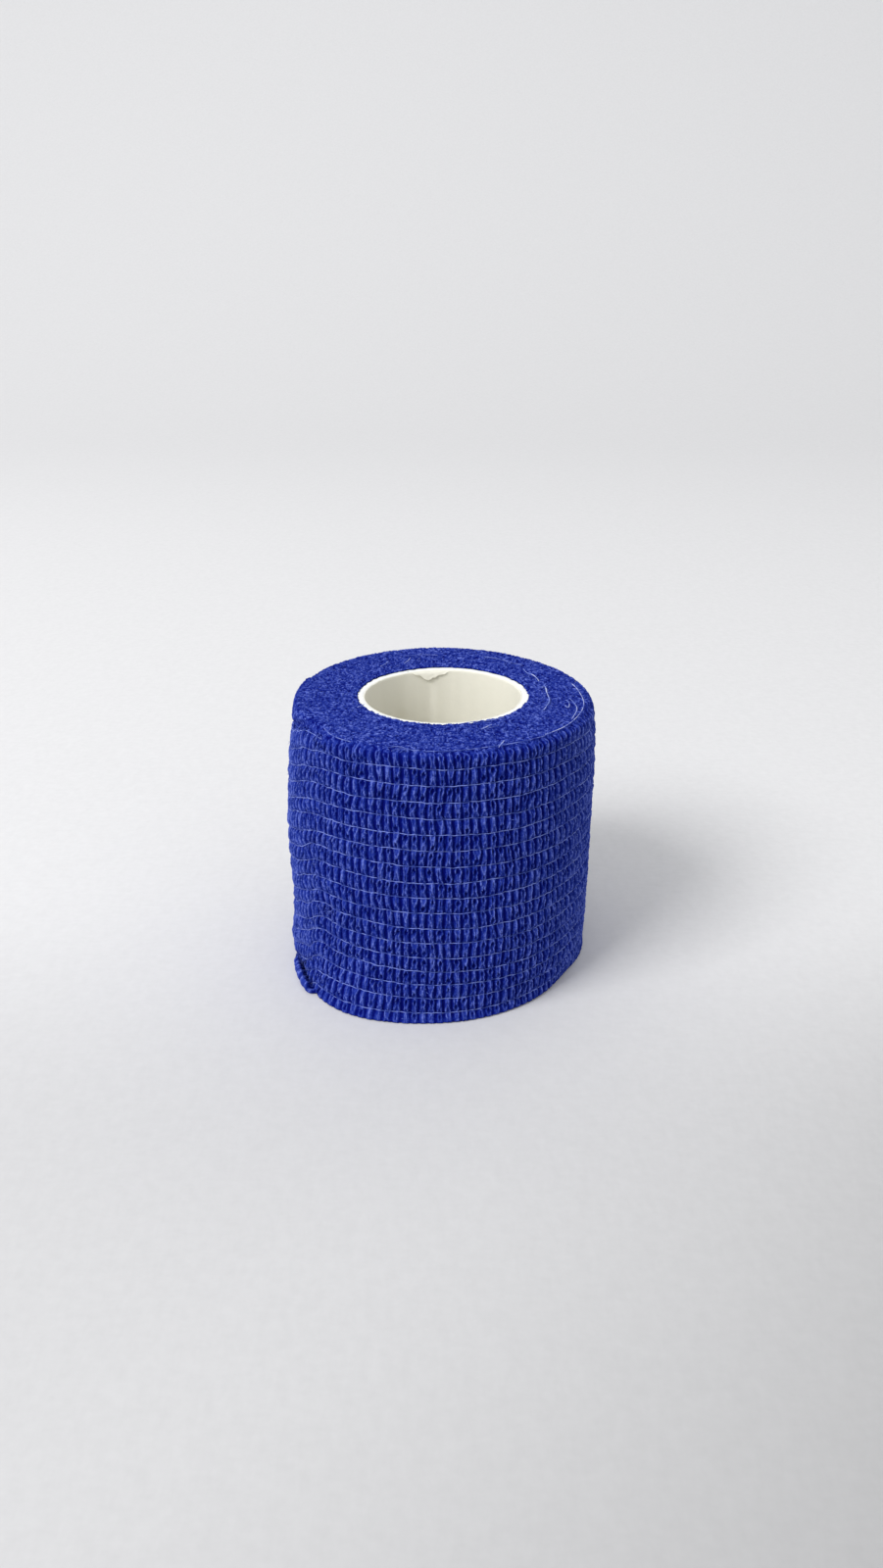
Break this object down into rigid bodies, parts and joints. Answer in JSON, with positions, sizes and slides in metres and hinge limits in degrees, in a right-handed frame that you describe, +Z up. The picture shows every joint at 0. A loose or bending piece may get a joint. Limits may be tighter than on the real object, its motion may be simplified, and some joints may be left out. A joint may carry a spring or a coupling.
{
  "type": "cohesive bandage roll",
  "caption": "Roll of crinkled blue cohesive elastic bandage on a paperboard tube, standing on its end with its loose end slipped down at one side.",
  "frame": {"origin": "middle of the roll's footprint, on the surface it stands on", "axes": "+Z up along the tube, -Y towards the front, -X towards the slipped loose end"},
  "size_m": [0.0552, 0.0536, 0.0503],
  "materials": {
    "bandage": "matt crinkled nonwoven with pale elastic threads",
    "paperboard": "matt paperboard, white outside and cream inside"
  },
  "bodies": {
    "root": {"core_tube": "paperboard", "wound_roll": "bandage", "loose_end": "bandage"}
  },
  "joints": []
}
